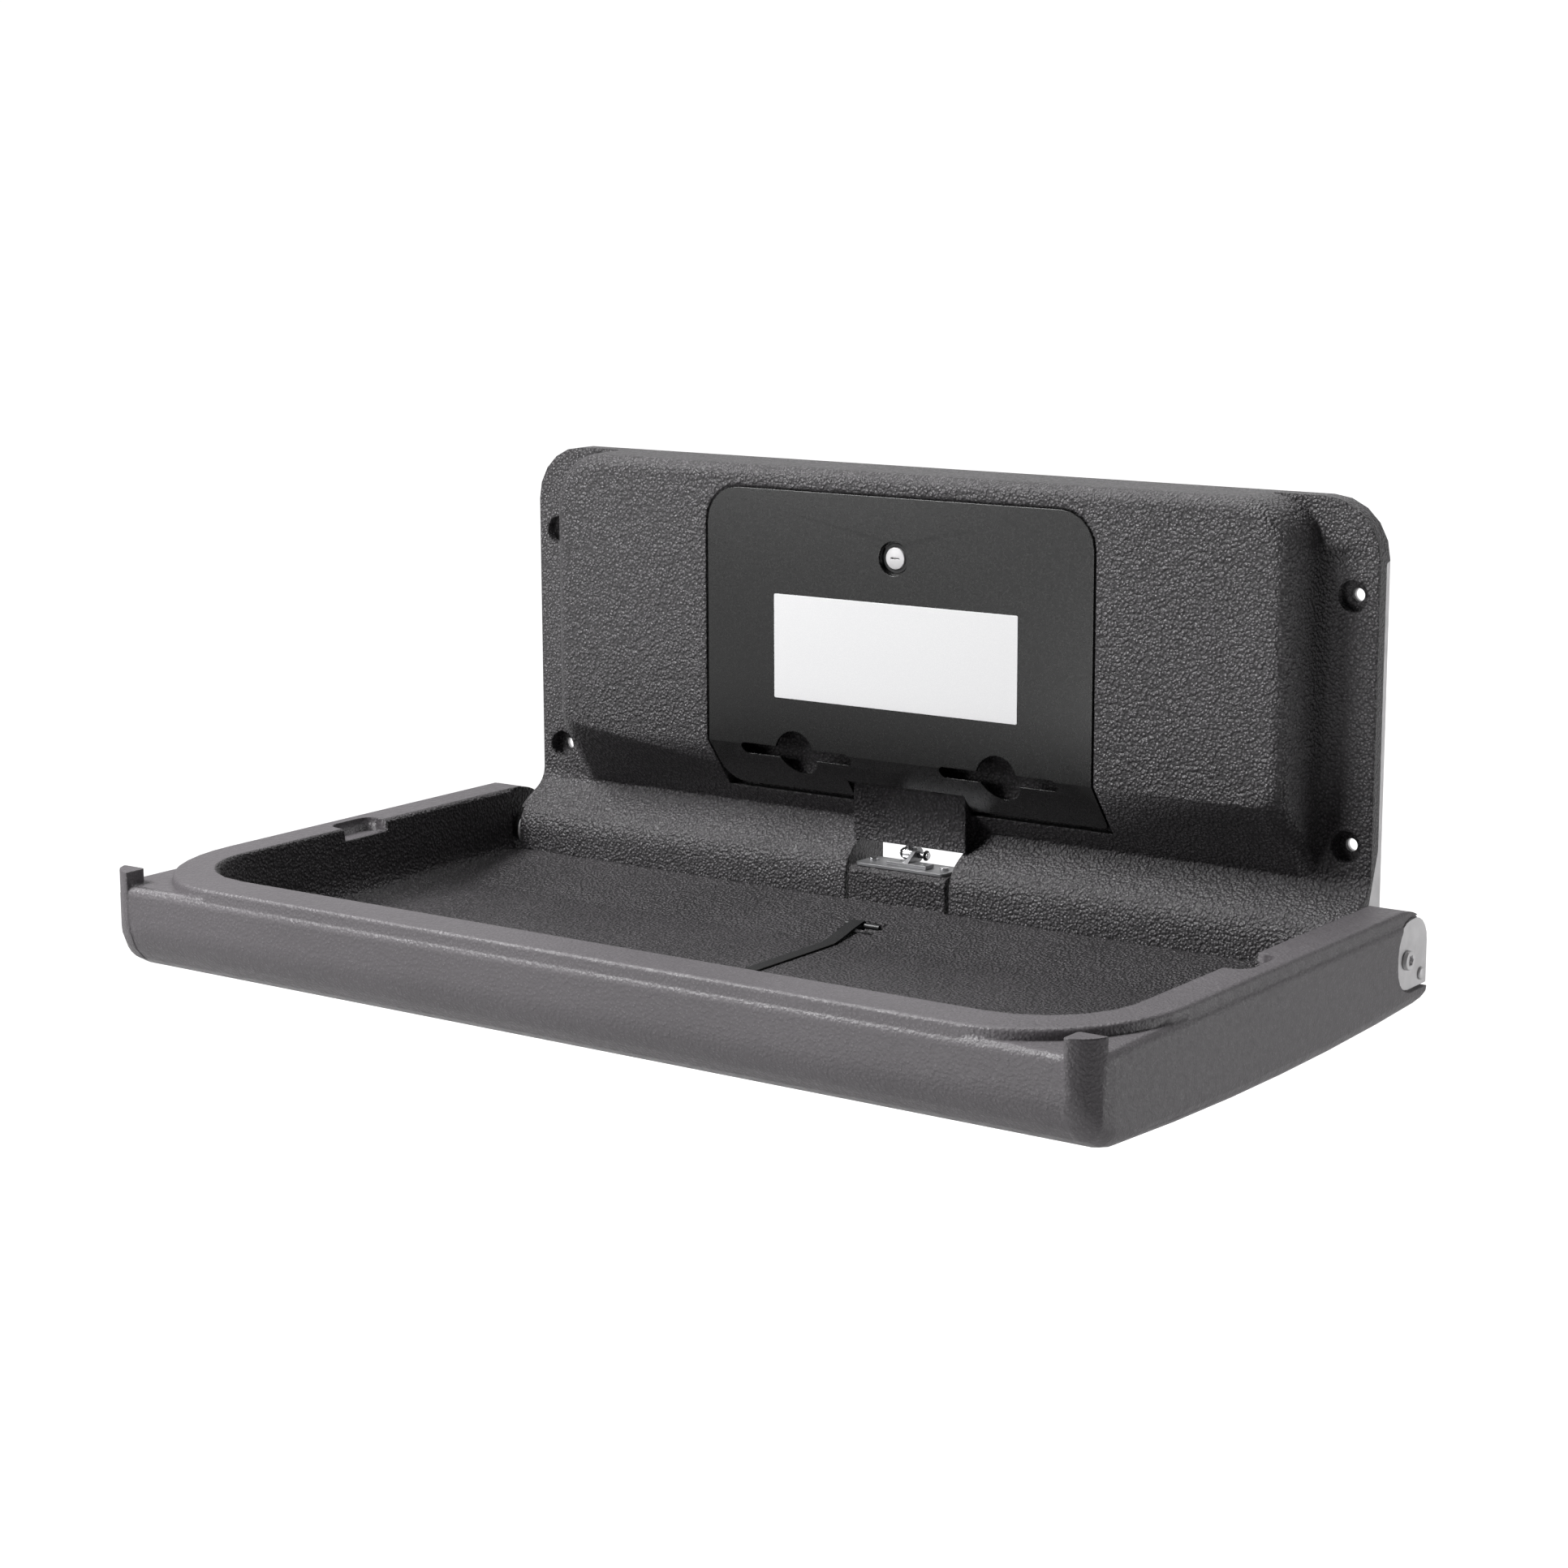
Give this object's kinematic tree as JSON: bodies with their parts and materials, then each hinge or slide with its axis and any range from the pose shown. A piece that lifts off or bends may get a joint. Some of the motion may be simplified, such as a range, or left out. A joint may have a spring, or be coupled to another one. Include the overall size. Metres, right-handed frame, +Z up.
{
  "type": "baby changing station",
  "caption": "Wall-mounted horizontal baby changing station: a fold-down moulded tray with a restraint strap, hinged below a wall housing with a lockable liner door.",
  "frame": {"origin": "centre of the four wall screw holes, on the wall plane, which is the rear face of the steel back rail", "axes": "+X to the right as seen from the room, +Y into the wall, +Z up; the tray is folded down, in use"},
  "size_m": [0.9558, 0.5342, 0.411],
  "materials": {
    "moulding": "dark grey, strong leather grain",
    "door": "satin black, smooth",
    "label": "blank white plate",
    "steel": "light grey powder coat",
    "bright": "bright zinc",
    "black_metal": "satin black",
    "black_plastic": "fine matt black",
    "webbing": "plain woven webbing",
    "nylon": "plain"
  },
  "bodies": {
    "wall_unit": {"wall_housing": "moulding", "back_rail": "steel", "lock_keeper": "steel", "left_hinge_bracket": "steel", "left_pivot_bolt": "bright", "left_pivot_nut": "bright", "left_damper_cheek": "steel", "left_door_hinge_pin": "bright", "right_hinge_bracket": "steel", "right_pivot_bolt": "bright", "right_pivot_nut": "bright", "right_damper_cheek": "steel", "right_door_hinge_pin": "bright", "liner_door": "door", "door_label": "label", "lock_body": "black_metal", "lock_nut": "steel"},
    "tray": {"tray_shell": "moulding", "left_hinge_plate": "steel", "left_pivot_bushing": "nylon", "left_stop_stud": "bright", "left_base_plate_screw": "bright", "right_hinge_plate": "steel", "right_pivot_bushing": "nylon", "right_stop_stud": "bright", "right_base_plate_screw": "bright", "damper_base_plate": "steel", "damper_lug": "steel", "damper_lower_pin": "bright", "lower_pin_clip_left": "black_metal", "lower_pin_clip_right": "black_metal", "rear_anchor_bar": "black_metal", "front_anchor_bar": "black_metal", "rear_strap": "webbing", "front_strap": "webbing", "buckle_tongue": "black_plastic", "buckle_socket": "black_plastic"},
    "damper_rod": {"damper_rod": "bright", "damper_piston": "black_plastic"},
    "damper_cylinder": {"damper_cylinder": "black_metal", "damper_rod_guide": "nylon", "damper_upper_pin": "bright", "upper_pin_clip_left": "black_metal", "upper_pin_clip_right": "black_metal"},
    "lock_plug": {"lock_plug": "bright", "lock_cam": "steel", "cam_screw": "bright"}
  },
  "joints": [
    {"name": "tray_fold", "type": "hinge", "parent": "wall_unit", "child": "tray", "pos_m": [0, -0.043, -0.1805], "axis": [-1, 0, 0], "range_deg": [0, 90]},
    {"name": "damper_swing", "type": "hinge", "parent": "tray", "child": "damper_rod", "pos_m": [0, -0.031, -0.155], "axis": [1, 0, 0], "range_deg": [0, 94]},
    {"name": "damper_stroke", "type": "slide", "parent": "damper_rod", "child": "damper_cylinder", "axis": [0, 0.0511, 0.9987], "range_m": [0, 0.0375]},
    {"name": "lock_turn", "type": "hinge", "parent": "wall_unit", "child": "lock_plug", "pos_m": [0, -0.0605, 0.108], "axis": [0, -1, 0], "range_deg": [0, 90]}
  ],
  "couplings": [
    {"joint": "damper_swing", "follows": "tray_fold", "ratio": 1.0389},
    {"joint": "damper_stroke", "follows": "tray_fold", "m_per_rad": 0.023702}
  ]
}
